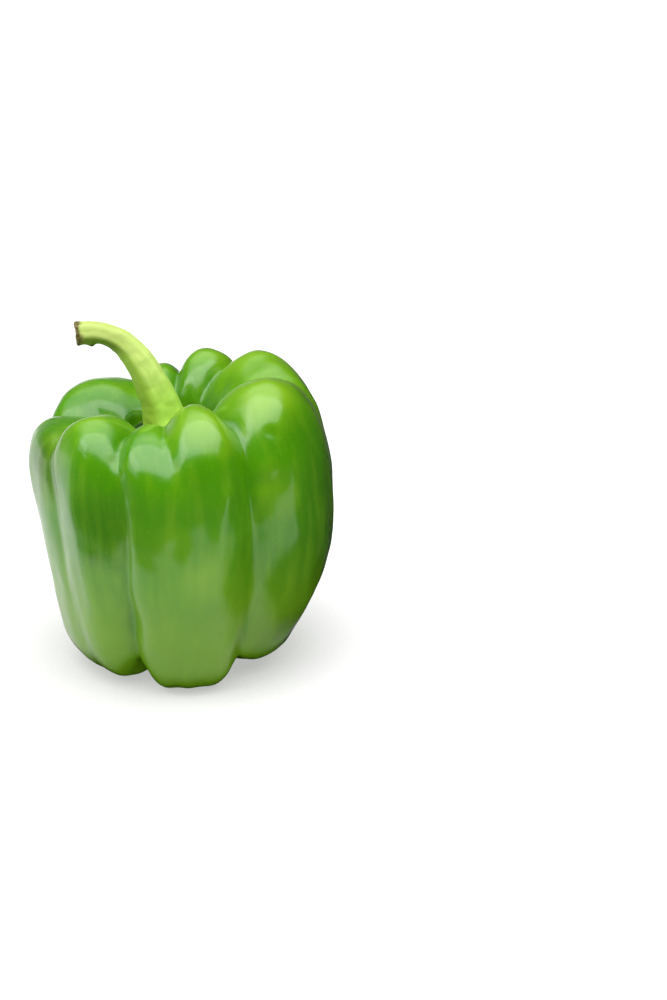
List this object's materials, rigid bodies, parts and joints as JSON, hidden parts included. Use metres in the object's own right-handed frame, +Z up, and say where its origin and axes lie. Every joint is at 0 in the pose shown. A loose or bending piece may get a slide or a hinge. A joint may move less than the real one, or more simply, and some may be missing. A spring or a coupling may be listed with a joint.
{
  "type": "bell pepper",
  "caption": "Green bell pepper, whole, with a blocky lobed fruit, a sunken stem end, a calyx and a bent stem; it stands upright on its lobes.",
  "frame": {"origin": "on the ground, under the middle of the pepper's bounding box", "axes": "+Z up, from the feet to the stem; -Y towards the lobe that faces the viewer; the stem bends over towards -X"},
  "size_m": [0.0854, 0.0848, 0.0998],
  "materials": {
    "skin": "waxy gloss",
    "calyx": "satin leaf surface",
    "stem": "satin, ribbed"
  },
  "bodies": {
    "root": {"fruit": "skin", "calyx": "calyx", "stem": "stem"}
  },
  "joints": []
}
